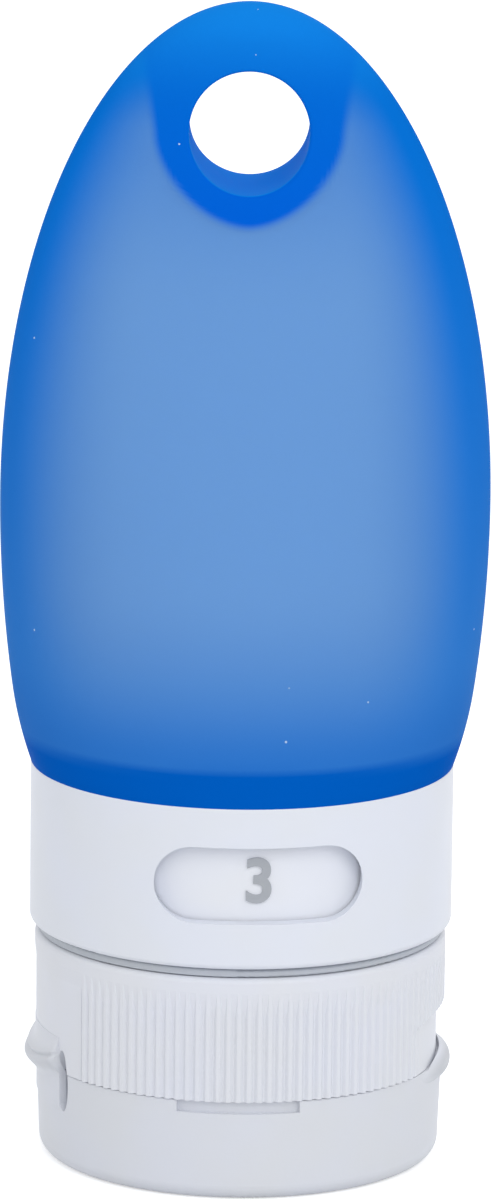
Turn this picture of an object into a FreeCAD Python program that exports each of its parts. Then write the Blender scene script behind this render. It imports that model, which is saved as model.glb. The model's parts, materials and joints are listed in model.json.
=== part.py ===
import FreeCAD, Part

import math
import os

from FreeCAD import Vector

# A squeezable silicone travel bottle that stands on its flip-top cap.
# Millimetres, +Z up, origin at the centre of the lid's outer face, window towards -Y,
# living hinge towards -X and thumb lip towards +X.

# Heights of the stack, from the surface it stands on
LID_TOP = 9.5
CAP_BASE = 9.58
CAP_TOP = 21.34
FLANGE_BASE = 21.42
FLANGE_TOP = 22.13
COLLAR_BASE = 22.3
COLLAR_TOP = 37.55
SHOULDER = 37.7
TOTAL_HEIGHT = 108.95

# Flip lid
LID_BASE_RADIUS = 18.7
LID_RIM_RADIUS = 19.05
LID_INNER_RADIUS = 17.65
LID_PLATE = 1.5
LID_EDGE_ROUND = 1.5
LID_RIM_EDGE = 0.1
RIM_NOTCH_HEIGHT = 1.1
RIM_NOTCH_DEPTH = 0.6
RIM_NOTCH_HALF_ANGLE = 17.4
PLUG_ROOT_RADIUS = 4.2
PLUG_TIP_RADIUS = 4.1
PLUG_BORE_RADIUS = 3.0
PLUG_TOP = 7.75
LIP_REACH = 19.85
LIP_RADIUS = 14.0
LIP_DEPTH = 1.25
LIP_ROOT = 1.5
LIP_GAP = 0.3
LIP_BASE = 7.7
LIP_TOP = 10.2

# Screw cap
CAP_WALL_INNER_RADIUS = 17.3
CAP_ROOT_RADIUS = 18.98
CAP_CREST_RADIUS = 19.25
CAP_TOP_ROUND = 0.55
CAP_DECK_TOP = 11.25
RIB_COUNT = 126
RIB_FADE = 17.4
RIB_TOP = 19.9
RIB_CREST_SHARE = 0.34
RIB_FLANK_SHARE = 0.26
PAD_RADIUS = 19.1
SMOOTH_PAD_HALF_ANGLE = 40.0
SPOUT_RADIUS = 5.6
SPOUT_BORE_RADIUS = 4.4
SPOUT_END = 6.75
LOCATING_RIM_RADIUS = 17.3
LOCATING_RIM_WALL = 1.2
LOCATING_RIM_END = 8.05
VALVE_SEAT_RADIUS = 8.8
VALVE_SEAT_WALL = 1.2
VALVE_SEAT_TOP = 14.55
THUMB_SIDE = 8.0
SCOOP_RADIUS = 24.0
SCOOP_FLOOR = 18.5
SCOOP_TOP = 15.2
SCOOP_TOP_ROUND = 1.6

# Living hinge: a film folded outwards into a bulge, seated in pockets of cap and lid
STRAP_HALF_ANGLE = 27.0
STRAP_BASE = 6.25
STRAP_TOP = 12.55
STRAP_INNER_RADIUS = 18.3
STRAP_BULGE_REACH = 20.2
STRAP_BULGE_BASE = 7.6
STRAP_BULGE_TOP = 11.4
STRAP_FILM = 0.65
POCKET_RADIUS = 18.2
POCKET_GAP = 0.1
SLOT_ANGLE = 30.6
SLOT_HALF_WIDTH = 0.95
SLOT_HALF_HEIGHT = 2.95
SLOT_HEIGHT = 8.75
SLOT_FLOOR_RADIUS = 17.95

# Screw thread, right-handed, with room between the two ridges
THREAD_PITCH = 4.2
THREAD_TURNS = 1.5
THREAD_ROOT_WIDTH = 1.5
THREAD_CREST_WIDTH = 0.7
THREAD_DEPTH = 0.75
NECK_THREAD_START = 13.9
CAP_THREAD_START = 13.9
CAP_THREAD_PHASE = 180.0

# Neck insert
NECK_BORE_RADIUS = 12.6
NECK_OUTER_RADIUS = 16.2
NECK_END = 12.65
FLANGE_RADIUS = 18.95
BARB_RADIUS = 14.0
BARB_DEPTH = 0.45
BARB_START = 0.6
BARB_PITCH = 3.6
BARB_COUNT = 3
TUBE_TOP = 34.35

# Label ring and window collar
LABEL_INNER_RADIUS = 16.05
LABEL_RADIUS = 18.15
LABEL_TOP = 36.85
COLLAR_INNER_RADIUS = 18.4
COLLAR_RADIUS = 19.75
COLLAR_EDGE_ROUND = 0.55
WINDOW_WIDTH = 19.2
WINDOW_HEIGHT = 7.2
WINDOW_ROUND = 3.55
WINDOW_CENTRE = 30.23
WINDOW_ANGLE = 5.3

# Cap gasket, slit valve and its retainer
GASKET_BASE = 11.3
GASKET_TOP = 12.6
GASKET_INNER_RADIUS = 12.8
GASKET_RADIUS = 16.6
VALVE_RIM_RADIUS = 8.6
VALVE_RIM_TOP = 12.45
VALVE_CUP_RADIUS = 4.2
VALVE_CUP_BORE = 3.4
VALVE_CUP_END = 8.35
VALVE_CROWN = 9.25
VALVE_SKIN = 0.6
VALVE_LAND = 0.5
SLIT_LENGTH = 4.8
SLIT_WIDTH = 0.12
RETAINER_BASE = 12.5
RETAINER_TOP = 14.25
RETAINER_RADIUS = 8.7
RETAINER_BORE = 5.2

# Silicone body: widest section, outline heights and wall
BODY_HALF_WIDTH = 22.75
BODY_WIDEST = 62.35
BODY_LOWER_REACH = 54.5
BODY_BASE_HALF_DEPTH = 19.7
BODY_TOP_HALF_DEPTH = 3.4
DEPTH_FALL_POWER = 1.15
FACE_WALL = 1.7
SIDE_WALL = 2.7
WALL_SWELL = 1.6
WALL_SWELL_REACH = 20.0
WALL_SWELL_POWER = 2.5
BODY_TOP_SECTION_ANGLE = 86.5
CAVITY_FLOOR = 40.65
CAVITY_TOP = 102.4
THROAT_RADIUS = 15.1
SHOULDER_ROUND = 0.9
SLEEVE_INNER_RADIUS = 14.1
SLEEVE_RADIUS = 15.95
SLEEVE_BASE = 22.25
HOLE_RADIUS = 5.55
HOLE_HEIGHT = 97.35
HOLE_BOSS_RADIUS = 8.7
HOLE_EDGE_ROUND = 0.7

# Moulded edges, root overlap of fused pieces, and lengths of cutting tools that pass right through
EDGE = 0.2
SOFT_EDGE = 0.3
CORNER = 0.5
OVERLAP = 0.5
CLEAR_RADIUS = 22.0
CLEAR_LENGTH = 30.0

AXIS = Vector(0, 0, 1)
ORIGIN = Vector(0, 0, 0)


def rounded_face(corners):
    """Flat face in the X-Z plane from corners (x, z, rounding), each rounded by a tangent arc."""
    points = [Vector(x, 0, z) for x, z, _ in corners]
    count = len(points)
    arcs = []
    for index, here in enumerate(points):
        rounding = corners[index][2]
        back = (points[index - 1] - here).normalize()
        ahead = (points[(index + 1) % count] - here).normalize()
        half = back.getAngle(ahead) / 2
        if rounding == 0:
            arcs.append((here, None, here))
            continue
        reach = rounding / math.tan(half)
        middle = (back + ahead).normalize() * (rounding / math.sin(half) - rounding)
        arcs.append((here + back * reach, here + middle, here + ahead * reach))
    edges = []
    for index, (start, middle, end) in enumerate(arcs):
        before = arcs[index - 1][2]
        if before.distanceToPoint(start) > 1e-6:
            edges.append(Part.LineSegment(before, start).toShape())
        if middle is not None:
            edges.append(Part.Arc(start, middle, end).toShape())
    return Part.Face(Part.Wire(edges))


def turned(corners, centre_x=0.0):
    """Solid of revolution about an upright axis at centre_x; corners are (radius, z, rounding)."""
    solid = rounded_face(corners).revolve(ORIGIN, AXIS, 360)
    return solid.translate(Vector(centre_x, 0, 0))


def tube(inner, outer, base, top):
    """Plain upright tube, or a full cylinder where inner is zero."""
    solid = Part.makeCylinder(outer, top - base, Vector(0, 0, base))
    if inner > 0:
        solid = solid.cut(Part.makeCylinder(inner, top - base, Vector(0, 0, base)))
    return solid


def sector(inner, outer, base, top, middle_angle, half_angle):
    """Block of a ring between two radii, two heights and two angles."""
    outline = rounded_face([(inner, base, 0), (outer, base, 0), (outer, top, 0), (inner, top, 0)])
    block = outline.revolve(ORIGIN, AXIS, 2 * half_angle)
    block.rotate(ORIGIN, AXIS, middle_angle - half_angle)
    return block


def hinge_slots():
    """Lens-shaped pits on both sides of the strap, cut towards the axis."""
    start = Vector(SLOT_FLOOR_RADIUS, 0, SLOT_HEIGHT)
    lens = Part.Ellipse(start, SLOT_HALF_HEIGHT, SLOT_HALF_WIDTH)
    face = Part.Face(Part.Wire(lens.toShape()))
    face.rotate(start, Vector(0, 1, 0), 90)
    pits = []
    for side in (-1, 1):
        pit = face.extrude(Vector(CLEAR_RADIUS - SLOT_FLOOR_RADIUS, 0, 0))
        pit.rotate(ORIGIN, AXIS, 180 + side * SLOT_ANGLE)
        pits.append(pit)
    return pits


def strap_pocket(base, top):
    """Room for the hinge strap in the outer wall of cap or lid."""
    gap_angle = math.degrees(POCKET_GAP / POCKET_RADIUS)
    return sector(POCKET_RADIUS, CLEAR_RADIUS, base, top, 180, STRAP_HALF_ANGLE + gap_angle)


def right_half_room():
    """Block round the thumb side, right of the axis."""
    return Part.makeBox(CLEAR_LENGTH, 2 * CLEAR_LENGTH, CLEAR_LENGTH, Vector(THUMB_SIDE, -CLEAR_LENGTH, 0))


def scoop_tool():
    """Everything outside a large shallow arc: cuts the thumb scoop into the cap's wall."""
    far = SCOOP_RADIUS + CLEAR_LENGTH
    under = LID_TOP - OVERLAP
    corners = [(SCOOP_RADIUS, under, 0), (far, under, 0), (far, SCOOP_TOP, 0),
               (SCOOP_RADIUS, SCOOP_TOP, SCOOP_TOP_ROUND)]
    ring = turned(corners, SCOOP_FLOOR - SCOOP_RADIUS)
    return ring.common(right_half_room())


def thumb_lip():
    """Crescent bead at +X: a round-nosed profile turned about an axis nearer to the rim."""
    axis_x = LIP_REACH - LIP_RADIUS
    root = LIP_RADIUS - LIP_DEPTH
    back = root - LIP_ROOT
    nose = Part.Arc(Vector(root, 0, LIP_BASE), Vector(LIP_RADIUS, 0, (LIP_BASE + LIP_TOP) / 2),
                    Vector(root, 0, LIP_TOP)).toShape()
    corners = [Vector(root, 0, LIP_TOP), Vector(back, 0, LIP_TOP), Vector(back, 0, LIP_BASE),
               Vector(root, 0, LIP_BASE)]
    sides = [Part.LineSegment(a, b).toShape() for a, b in zip(corners, corners[1:])]
    bead = Part.Face(Part.Wire([nose] + sides)).revolve(ORIGIN, AXIS, 360)
    bead.translate(Vector(axis_x, 0, 0))
    bead = bead.common(right_half_room())
    inside = tube(0, LID_INNER_RADIUS + OVERLAP, 0, LID_TOP)
    scoop_axis = Vector(SCOOP_FLOOR - SCOOP_RADIUS, 0, LID_TOP)
    scoop_room = Part.makeCylinder(SCOOP_RADIUS + LIP_GAP, CLEAR_LENGTH, scoop_axis)
    return bead.cut(inside).cut(scoop_room)


def thread_ridge(wall_radius, crest_radius, start, phase):
    """Ridge of the screw thread: a flat-topped profile, rooted in a wall, carried along a helix."""
    root = wall_radius - math.copysign(EDGE, crest_radius - wall_radius)
    half_root = THREAD_ROOT_WIDTH / 2
    half_crest = THREAD_CREST_WIDTH / 2
    corners = [Vector(root, 0, -half_root), Vector(crest_radius, 0, -half_crest),
               Vector(crest_radius, 0, half_crest), Vector(root, 0, half_root)]
    profile = Part.Wire(Part.makePolygon(corners + corners[:1]).Edges)
    path = Part.Wire(Part.makeHelix(THREAD_PITCH, THREAD_PITCH * THREAD_TURNS, wall_radius).Edges)
    ridge = path.makePipeShell([profile], True, True)
    ridge.translate(Vector(0, 0, start))
    ridge.rotate(ORIGIN, AXIS, phase)
    return ridge


def make_flip_lid():
    lid = turned([
        (0, 0, 0), (LID_BASE_RADIUS, 0, LID_EDGE_ROUND), (LID_RIM_RADIUS, LID_TOP, LID_RIM_EDGE),
        (LID_INNER_RADIUS, LID_TOP, EDGE), (LID_INNER_RADIUS, LID_PLATE, CORNER),
        (PLUG_ROOT_RADIUS, LID_PLATE, CORNER), (PLUG_TIP_RADIUS, PLUG_TOP, SOFT_EDGE),
        (PLUG_BORE_RADIUS, PLUG_TOP, EDGE), (PLUG_BORE_RADIUS, LID_PLATE, 0), (0, LID_PLATE, 0)])
    lid = lid.fuse(thumb_lip()).removeSplitter()
    notch_base = LID_TOP - RIM_NOTCH_HEIGHT
    above = LID_TOP + OVERLAP
    notch_floor = LID_RIM_RADIUS - RIM_NOTCH_DEPTH
    cutters = [sector(notch_floor, CLEAR_RADIUS, notch_base, above, middle, RIM_NOTCH_HALF_ANGLE)
               for middle in (-90, 90)]
    cutters.append(strap_pocket(STRAP_BASE - POCKET_GAP, above))
    return lid.cut(Part.makeCompound(cutters + hinge_slots()))


def rib_outline():
    """Closed outline of the grip ribs: flat crests and V grooves, with a plain pad at the hinge."""
    pitch = 360.0 / RIB_COUNT
    corners = []
    for index in range(RIB_COUNT):
        middle = -180 + (index + 0.5) * pitch
        if abs(middle) > 180 - SMOOTH_PAD_HALF_ANGLE:
            continue
        crest = RIB_CREST_SHARE * pitch / 2
        foot = crest + RIB_FLANK_SHARE * pitch
        for offset, radius in ((-foot, CAP_ROOT_RADIUS), (-crest, CAP_CREST_RADIUS),
                               (crest, CAP_CREST_RADIUS), (foot, CAP_ROOT_RADIUS)):
            angle = math.radians(middle + offset)
            corners.append(Vector(radius * math.cos(angle), radius * math.sin(angle), CAP_BASE))
    edges = [Part.LineSegment(a, b).toShape() for a, b in zip(corners, corners[1:])]
    pad_angle = math.radians(180 - SMOOTH_PAD_HALF_ANGLE)
    pad_ends = [Vector(PAD_RADIUS * math.cos(pad_angle), side * PAD_RADIUS * math.sin(pad_angle), CAP_BASE)
                for side in (1, -1)]
    pad_middle = Vector(-PAD_RADIUS, 0, CAP_BASE)
    edges.append(Part.LineSegment(corners[-1], pad_ends[0]).toShape())
    edges.append(Part.Arc(pad_ends[0], pad_middle, pad_ends[1]).toShape())
    edges.append(Part.LineSegment(pad_ends[1], corners[0]).toShape())
    return Part.Wire(edges)


def make_screw_cap():
    rim_inner = LOCATING_RIM_RADIUS - LOCATING_RIM_WALL
    seat_outer = VALVE_SEAT_RADIUS + VALVE_SEAT_WALL
    cap = turned([
        (SPOUT_BORE_RADIUS, SPOUT_END, EDGE), (SPOUT_RADIUS, SPOUT_END, SOFT_EDGE),
        (SPOUT_RADIUS, CAP_BASE, CORNER), (rim_inner, CAP_BASE, SOFT_EDGE),
        (rim_inner, LOCATING_RIM_END, EDGE),
        (LOCATING_RIM_RADIUS, LOCATING_RIM_END, SOFT_EDGE), (LOCATING_RIM_RADIUS, CAP_BASE, 0),
        (CAP_ROOT_RADIUS, CAP_BASE, 0), (CAP_ROOT_RADIUS, RIB_FADE, 0), (CAP_CREST_RADIUS, RIB_TOP, 0),
        (CAP_CREST_RADIUS, CAP_TOP, CAP_TOP_ROUND), (CAP_WALL_INNER_RADIUS, CAP_TOP, SOFT_EDGE),
        (CAP_WALL_INNER_RADIUS, CAP_DECK_TOP, CORNER), (seat_outer, CAP_DECK_TOP, SOFT_EDGE),
        (seat_outer, VALVE_SEAT_TOP, EDGE), (VALVE_SEAT_RADIUS, VALVE_SEAT_TOP, EDGE),
        (VALVE_SEAT_RADIUS, CAP_DECK_TOP, 0), (SPOUT_BORE_RADIUS, CAP_DECK_TOP, EDGE)])
    ribs = Part.Face(rib_outline()).extrude(Vector(0, 0, RIB_TOP - CAP_BASE))
    ribs = ribs.cut(tube(0, CAP_ROOT_RADIUS - OVERLAP, CAP_BASE, RIB_TOP))
    cap = cap.fuse(ribs).removeSplitter()
    thread_crest = CAP_WALL_INNER_RADIUS - THREAD_DEPTH
    cap = cap.fuse(thread_ridge(CAP_WALL_INNER_RADIUS, thread_crest, CAP_THREAD_START, CAP_THREAD_PHASE))
    cutters = [scoop_tool(), strap_pocket(CAP_BASE - OVERLAP, STRAP_TOP + POCKET_GAP)]
    return cap.cut(Part.makeCompound(cutters + hinge_slots()))


def make_hinge_strap():
    """Sector of an arched film: flush with the lid below and the cap above, bulging at the fold."""
    low = Vector(LID_RIM_RADIUS, 0, STRAP_BASE)
    low_bulge = Vector(LID_RIM_RADIUS, 0, STRAP_BULGE_BASE)
    crown = Vector(STRAP_BULGE_REACH, 0, LID_TOP)
    high_bulge = Vector(CAP_CREST_RADIUS, 0, STRAP_BULGE_TOP)
    high = Vector(CAP_CREST_RADIUS, 0, STRAP_TOP)
    high_back = Vector(STRAP_INNER_RADIUS, 0, STRAP_TOP)
    high_arch = Vector(STRAP_INNER_RADIUS, 0, STRAP_BULGE_TOP)
    arch_crown = Vector(STRAP_BULGE_REACH - STRAP_FILM, 0, LID_TOP)
    low_arch = Vector(STRAP_INNER_RADIUS, 0, STRAP_BULGE_BASE)
    low_back = Vector(STRAP_INNER_RADIUS, 0, STRAP_BASE)
    outline = Part.Wire([
        Part.LineSegment(low_back, low).toShape(), Part.LineSegment(low, low_bulge).toShape(),
        Part.Arc(low_bulge, crown, high_bulge).toShape(), Part.LineSegment(high_bulge, high).toShape(),
        Part.LineSegment(high, high_back).toShape(), Part.LineSegment(high_back, high_arch).toShape(),
        Part.Arc(high_arch, arch_crown, low_arch).toShape(), Part.LineSegment(low_arch, low_back).toShape()])
    strap = Part.Face(outline).revolve(ORIGIN, AXIS, 2 * STRAP_HALF_ANGLE)
    strap.rotate(ORIGIN, AXIS, 180 - STRAP_HALF_ANGLE)
    return strap


def make_neck_insert():
    """Threaded spigot below, thin flange, and a barbed tube that the silicone neck is pulled over."""
    barbs = []
    for index in range(BARB_COUNT):
        foot = FLANGE_TOP + BARB_START + index * BARB_PITCH
        barbs.append((BARB_RADIUS - BARB_DEPTH, foot, 0))
        barbs.append((BARB_RADIUS, foot, 0))
    neck = turned([
        (NECK_BORE_RADIUS, NECK_END, SOFT_EDGE), (NECK_OUTER_RADIUS, NECK_END, CORNER),
        (NECK_OUTER_RADIUS, FLANGE_BASE, SOFT_EDGE), (FLANGE_RADIUS, FLANGE_BASE, EDGE),
        (FLANGE_RADIUS, FLANGE_TOP, EDGE), (BARB_RADIUS - BARB_DEPTH, FLANGE_TOP, 0)]
        + barbs + [(BARB_RADIUS - BARB_DEPTH, TUBE_TOP, SOFT_EDGE), (NECK_BORE_RADIUS, TUBE_TOP, EDGE)])
    return neck.fuse(thread_ridge(NECK_OUTER_RADIUS, NECK_OUTER_RADIUS + THREAD_DEPTH, NECK_THREAD_START, 0))


def make_label_ring():
    return turned([(LABEL_INNER_RADIUS, FLANGE_TOP, 0), (LABEL_RADIUS, FLANGE_TOP, EDGE),
                   (LABEL_RADIUS, LABEL_TOP, SOFT_EDGE), (LABEL_INNER_RADIUS, LABEL_TOP, SOFT_EDGE)])


def make_window_collar():
    collar = turned([
        (COLLAR_INNER_RADIUS, COLLAR_BASE, EDGE), (COLLAR_RADIUS, COLLAR_BASE, COLLAR_EDGE_ROUND),
        (COLLAR_RADIUS, COLLAR_TOP, EDGE), (COLLAR_INNER_RADIUS, COLLAR_TOP, EDGE)])
    half_wide = WINDOW_WIDTH / 2
    half_high = WINDOW_HEIGHT / 2
    low = WINDOW_CENTRE - half_high
    high = WINDOW_CENTRE + half_high
    window = rounded_face([(-half_wide, low, WINDOW_ROUND), (half_wide, low, WINDOW_ROUND),
                           (half_wide, high, WINDOW_ROUND), (-half_wide, high, WINDOW_ROUND)])
    opening = window.extrude(Vector(0, -CLEAR_LENGTH, 0))
    opening.rotate(ORIGIN, AXIS, WINDOW_ANGLE)
    return collar.cut(opening)


def make_cap_gasket():
    return turned([(GASKET_INNER_RADIUS, GASKET_BASE, EDGE), (GASKET_RADIUS, GASKET_BASE, EDGE),
                   (GASKET_RADIUS, GASKET_TOP, EDGE), (GASKET_INNER_RADIUS, GASKET_TOP, EDGE)])


def make_slit_valve():
    """Flanged cup with a crown that dips inwards, cut by a cross slit."""
    cup = turned([
        (VALVE_CUP_BORE, VALVE_RIM_TOP, SOFT_EDGE), (VALVE_CUP_BORE, VALVE_CUP_END + VALVE_SKIN, SOFT_EDGE),
        (0, VALVE_CROWN + VALVE_SKIN, 0), (0, VALVE_CROWN, 0),
        (VALVE_CUP_RADIUS - VALVE_LAND, VALVE_CUP_END, SOFT_EDGE),
        (VALVE_CUP_RADIUS, VALVE_CUP_END, EDGE), (VALVE_CUP_RADIUS, CAP_DECK_TOP, 0),
        (VALVE_RIM_RADIUS, CAP_DECK_TOP, EDGE), (VALVE_RIM_RADIUS, VALVE_RIM_TOP, EDGE)])
    long_way = Vector(-SLIT_LENGTH / 2, -SLIT_WIDTH / 2, 0)
    slit = Part.makeBox(SLIT_LENGTH, SLIT_WIDTH, CLEAR_LENGTH, long_way)
    cross = slit.copy()
    cross.rotate(ORIGIN, AXIS, 90)
    return cup.cut(slit.fuse(cross))


def make_valve_retainer():
    return turned([(RETAINER_BORE, RETAINER_BASE, EDGE), (RETAINER_RADIUS, RETAINER_BASE, EDGE),
                   (RETAINER_RADIUS, RETAINER_TOP, SOFT_EDGE), (RETAINER_BORE, RETAINER_TOP, CORNER)])


def body_half_width(z):
    """Front outline: two half ellipses that meet at the widest height."""
    reach = TOTAL_HEIGHT - BODY_WIDEST if z > BODY_WIDEST else BODY_LOWER_REACH
    return BODY_HALF_WIDTH * math.sqrt(1 - ((z - BODY_WIDEST) / reach) ** 2)


def body_half_depth(z):
    """Side outline: a cosine fall from the round shoulder to a thin top that closes half round."""
    share = (z - SHOULDER) / (TOTAL_HEIGHT - SHOULDER)
    fall = (1 + math.cos(math.pi * share ** DEPTH_FALL_POWER)) / 2
    depth = BODY_TOP_HALF_DEPTH + (BODY_BASE_HALF_DEPTH - BODY_TOP_HALF_DEPTH) * fall
    over = z - (TOTAL_HEIGHT - BODY_TOP_HALF_DEPTH)
    if over > 0:
        depth *= math.sqrt(1 - (over / BODY_TOP_HALF_DEPTH) ** 2)
    return depth


def wall_swell(z):
    """What the wall gains towards the shoulder, where the silicone has to hold its shape on the neck."""
    share = 1 - (z - CAVITY_FLOOR) / WALL_SWELL_REACH
    return WALL_SWELL * max(share, 0) ** WALL_SWELL_POWER


def oval_loft(sections):
    """Smooth solid through level ovals, each given as (height, half width, half depth)."""
    wires = [Part.Wire(Part.Ellipse(Vector(0, 0, z), half_width, half_depth).toShape())
             for z, half_width, half_depth in sections]
    return Part.makeLoft(wires, True)


def body_heights(lowest, highest):
    """Section heights: even steps up to the widest, then even angles of the upper ellipse."""
    upper = TOTAL_HEIGHT - BODY_WIDEST
    last_angle = math.degrees(math.asin((highest - BODY_WIDEST) / upper))
    steps = 12
    heights = [lowest + (BODY_WIDEST - lowest) * index / 4 for index in range(4)]
    heights += [BODY_WIDEST + upper * math.sin(math.radians(last_angle * index / steps))
                for index in range(steps + 1)]
    return heights


def body_outside():
    top = BODY_WIDEST + (TOTAL_HEIGHT - BODY_WIDEST) * math.sin(math.radians(BODY_TOP_SECTION_ANGLE))
    outside = oval_loft([(z, body_half_width(z), body_half_depth(z)) for z in body_heights(SHOULDER, top)])
    foot = [edge for edge in outside.Edges if edge.BoundBox.ZMax < SHOULDER + 0.01]
    return outside.makeFillet(SHOULDER_ROUND, foot)


def hole_cylinder(radius):
    """Cylinder through the whole depth on the hanging hole's axis."""
    return Part.makeCylinder(radius, 2 * CLEAR_LENGTH, Vector(0, -CLEAR_LENGTH, HOLE_HEIGHT), Vector(0, 1, 0))


def hole_boss():
    """Solid round the hanging hole: a round end carried straight up to the top."""
    upright = Part.makeBox(2 * HOLE_BOSS_RADIUS, 2 * CLEAR_LENGTH, CLEAR_LENGTH,
                           Vector(-HOLE_BOSS_RADIUS, -CLEAR_LENGTH, HOLE_HEIGHT))
    return hole_cylinder(HOLE_BOSS_RADIUS).fuse(upright)


def body_cavity():
    """Room for the contents: inner oval loft less the boss, with a funnel down to the neck."""
    sections = []
    for z in body_heights(CAVITY_FLOOR, CAVITY_TOP):
        swell = wall_swell(z)
        sections.append((z, body_half_width(z) - SIDE_WALL - swell, body_half_depth(z) - FACE_WALL - swell))
    room = oval_loft(sections).cut(hole_boss())
    throat = Part.makeCone(NECK_BORE_RADIUS, THROAT_RADIUS, CAVITY_FLOOR - TUBE_TOP + OVERLAP,
                           Vector(0, 0, TUBE_TOP))
    return room, throat


def on_hole_wall(edge):
    """True for an edge that follows the hanging hole's wall."""
    middle = edge.valueAt((edge.FirstParameter + edge.LastParameter) / 2)
    points = [vertex.Point for vertex in edge.Vertexes] + [middle]
    return all(abs(math.hypot(point.x, point.z - HOLE_HEIGHT) - HOLE_RADIUS) < 0.05 for point in points)


def make_bottle_body():
    room, throat = body_cavity()
    sleeve = tube(0, SLEEVE_RADIUS, SLEEVE_BASE, SHOULDER + OVERLAP)
    body = body_outside().fuse(sleeve).removeSplitter()
    body = body.cut(room.fuse(throat))
    body = body.cut(tube(0, SLEEVE_INNER_RADIUS, SLEEVE_BASE - OVERLAP, TUBE_TOP + POCKET_GAP))
    body = body.cut(hole_cylinder(HOLE_RADIUS)).Solids[0]
    rims = [edge for edge in body.Edges if on_hole_wall(edge) and edge.Curve.TypeId != "Part::GeomLine"]
    return body.makeFillet(HOLE_EDGE_ROUND, rims)


PIECES = {
    "bottle_body": make_bottle_body,
    "neck_insert": make_neck_insert,
    "label_ring": make_label_ring,
    "window_collar": make_window_collar,
    "cap_gasket": make_cap_gasket,
    "screw_cap": make_screw_cap,
    "slit_valve": make_slit_valve,
    "valve_retainer": make_valve_retainer,
    "flip_lid": make_flip_lid,
    "hinge_strap": make_hinge_strap,
}


def main():
    os.makedirs("parts", exist_ok=True)
    for name, make in PIECES.items():
        shape = make()
        solids = shape.Solids
        shape = solids[0] if len(solids) == 1 else shape
        box = shape.optimalBoundingBox()
        print(f"{name}: valid {shape.isValid()}, solids {len(solids)}, faces {len(shape.Faces)}, "
              f"volume {shape.Volume:.1f}, z {box.ZMin:.2f} to {box.ZMax:.2f}, "
              f"x {box.XMin:.2f} to {box.XMax:.2f}, y {box.YMin:.2f} to {box.YMax:.2f}")
        shape.exportStep(f"parts/{name}.step")
    print(f"capacity {body_cavity()[0].Volume / 1000:.1f} ml")


main()
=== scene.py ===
# %% [markdown]
# # A silicone travel bottle, dressed for its picture
# The imported model is the fixed frame: every piece made here is drawn in metres in the same place as the
# solid that it stands for or sits on.

# %% Load the frame
import json
import math

import bmesh
import bpy
import numpy as np
from mathutils import Matrix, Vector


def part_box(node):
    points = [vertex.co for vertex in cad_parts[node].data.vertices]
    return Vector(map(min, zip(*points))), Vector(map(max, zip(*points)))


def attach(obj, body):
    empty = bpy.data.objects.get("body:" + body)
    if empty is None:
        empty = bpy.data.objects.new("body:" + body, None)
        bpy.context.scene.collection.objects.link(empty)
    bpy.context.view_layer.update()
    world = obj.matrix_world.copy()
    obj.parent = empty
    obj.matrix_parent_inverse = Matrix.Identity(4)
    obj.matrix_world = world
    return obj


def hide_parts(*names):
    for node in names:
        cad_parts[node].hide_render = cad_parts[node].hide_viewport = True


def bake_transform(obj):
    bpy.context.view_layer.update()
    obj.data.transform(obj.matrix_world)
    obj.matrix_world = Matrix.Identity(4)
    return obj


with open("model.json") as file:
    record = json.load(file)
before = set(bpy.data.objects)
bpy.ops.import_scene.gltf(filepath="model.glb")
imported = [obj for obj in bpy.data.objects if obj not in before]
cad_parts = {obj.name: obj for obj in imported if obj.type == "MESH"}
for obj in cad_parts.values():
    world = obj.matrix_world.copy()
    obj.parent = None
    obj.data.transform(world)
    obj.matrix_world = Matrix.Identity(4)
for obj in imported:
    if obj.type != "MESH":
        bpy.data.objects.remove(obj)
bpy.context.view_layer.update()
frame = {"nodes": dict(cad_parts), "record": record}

MM = 0.001
print("nodes:", ", ".join(sorted(frame["nodes"])))

# %% [markdown]
# ## Camera
# The bottle is seen from a little above through a long lens, so its rims show as flat ovals. A camera could
# be placed by eye, but a small error in its height or pitch shows in those ovals at once. So place, pitch
# and roll are real sizes that bring the rims of collar, cap and lid onto the ones in the picture. The focal
# length is given in pixels of the 1200 pixel high picture and turned into a lens for a 36 mm sensor.

# %% Camera
PICTURE_HEIGHT = 1200
FOCAL_PIXELS = 8822
SENSOR = 36.0
CAMERA_PLACE = (0.13 * MM, -800 * MM, 234.25 * MM)
CAMERA_PITCH = math.radians(12.79)
CAMERA_ROLL = math.radians(0.67)

camera_data = bpy.data.cameras.new("photo_camera")
camera_data.sensor_width = SENSOR
camera_data.lens = FOCAL_PIXELS / PICTURE_HEIGHT * SENSOR
camera = bpy.data.objects.new("photo_camera", camera_data)
camera.matrix_world = (
    Matrix.Translation(CAMERA_PLACE)
    @ Matrix.Rotation(math.pi / 2 - CAMERA_PITCH, 4, "X")
    @ Matrix.Rotation(CAMERA_ROLL, 4, "Z")
)
bpy.context.scene.collection.objects.link(camera)
bpy.context.scene.camera = camera
bpy.context.scene.view_settings.view_transform = "Standard"
print("lens", round(camera_data.lens, 1), "mm")

# %% [markdown]
# ## Mesh helpers
# A piece could be cut from ready-made solids, but the bottle's forms are smooth formulas. So a surface here
# is a function of two parameters worked out on a whole grid at once. These helpers turn such grids into one
# closed mesh: quads from a grid's rows and columns, several grids joined, and doubles merged where two
# grids share an edge.

# %% Mesh helpers
WELD = 0.002 * MM


def grid_quads(rows, columns, wrap=False):
    """Corner numbers of a grid's quads, points stored row after row; wrap joins last column and first."""
    steps = columns if wrap else columns - 1
    row, column = np.meshgrid(np.arange(rows - 1), np.arange(steps), indexing="ij")
    beside = (column + 1) % columns
    corners = [row * columns + column, row * columns + beside,
               (row + 1) * columns + beside, (row + 1) * columns + column]
    return np.stack(corners, axis=-1).reshape(-1, 4)


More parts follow.
